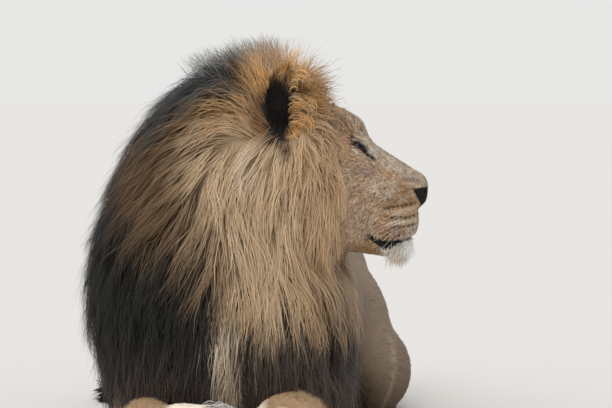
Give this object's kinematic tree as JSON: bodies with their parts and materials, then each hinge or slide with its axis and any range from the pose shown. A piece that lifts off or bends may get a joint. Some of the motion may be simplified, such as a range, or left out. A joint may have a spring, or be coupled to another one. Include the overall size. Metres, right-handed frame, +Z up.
{
  "type": "lion",
  "caption": "Life-size male lion lying on its chest, head turned to its left, full dark and blond mane, forelegs forward, hind legs folded, tail laid round its right side",
  "frame": {"origin": "on the floor below the middle of the whole animal", "axes": "+Z up; the animal faces -Y and its body runs back along +Y; its nose points along +X, to its own left"},
  "size_m": [0.7794, 1.8792, 0.904],
  "materials": {
    "body_fur": "short flat tan fur, cream below",
    "face_fur": "very short mottled tan fur",
    "chin_fur": "short soft off-white fur",
    "ear_fur": "ginger inside, black on the back",
    "mane_ginger": "long ginger hair",
    "mane_blond": "long straight blond hair",
    "mane_dark": "long black-brown hair",
    "nose_leather": "dark bare skin, slightly moist",
    "eye": "glossy amber-brown eye with a round dark pupil"
  },
  "bodies": {
    "root": {"nose": "nose_leather", "eye_right": "eye", "ear_right": "ear_fur", "eye_left": "eye", "ear_left": "ear_fur", "head": "face_fur", "lower_jaw": "chin_fur", "crown": "mane_ginger", "neck": "mane_blond", "chest": "mane_dark", "foreleg_left": "body_fur", "forepaw_left": "body_fur", "foreleg_right": "body_fur", "forepaw_right": "body_fur", "trunk": "body_fur", "thigh_right": "body_fur", "hind_foot_right": "body_fur", "shank_right": "body_fur", "thigh_left": "body_fur", "hind_foot_left": "body_fur", "shank_left": "body_fur", "tail_base": "body_fur", "tail_middle": "body_fur", "tail_tuft": "mane_dark"}
  },
  "joints": []
}
